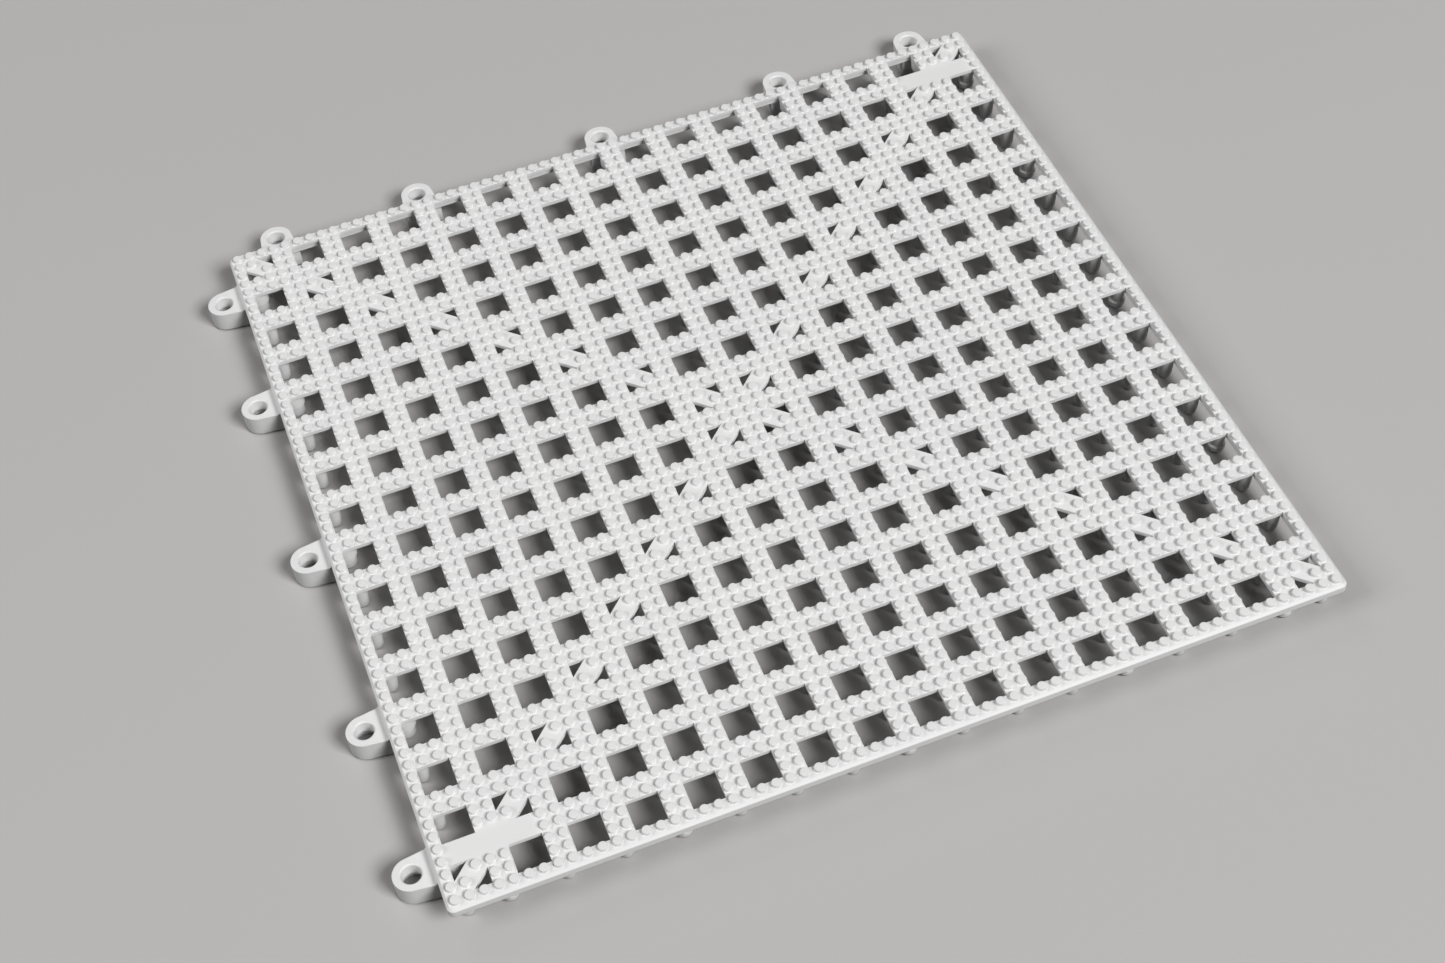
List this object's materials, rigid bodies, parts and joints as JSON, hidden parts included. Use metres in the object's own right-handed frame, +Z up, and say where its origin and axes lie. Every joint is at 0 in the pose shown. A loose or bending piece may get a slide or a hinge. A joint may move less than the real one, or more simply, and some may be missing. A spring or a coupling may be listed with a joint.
{
  "type": "interlocking floor tile",
  "caption": "Square soft PVC drainage floor tile with a grid of square holes, a studded tread, short legs, and pegs and loops that join it to its neighbours.",
  "frame": {"origin": "on the floor under the middle of the square deck, at the foot of the middle leg", "axes": "+X to the right along the near edge with pegs, +Y to the far edge with loops, +Z up out of the studded tread"},
  "size_m": [0.3168, 0.3168, 0.012],
  "materials": {
    "soft_pvc": "satin"
  },
  "bodies": {
    "root": {"floor_tile": "soft_pvc"}
  },
  "joints": []
}
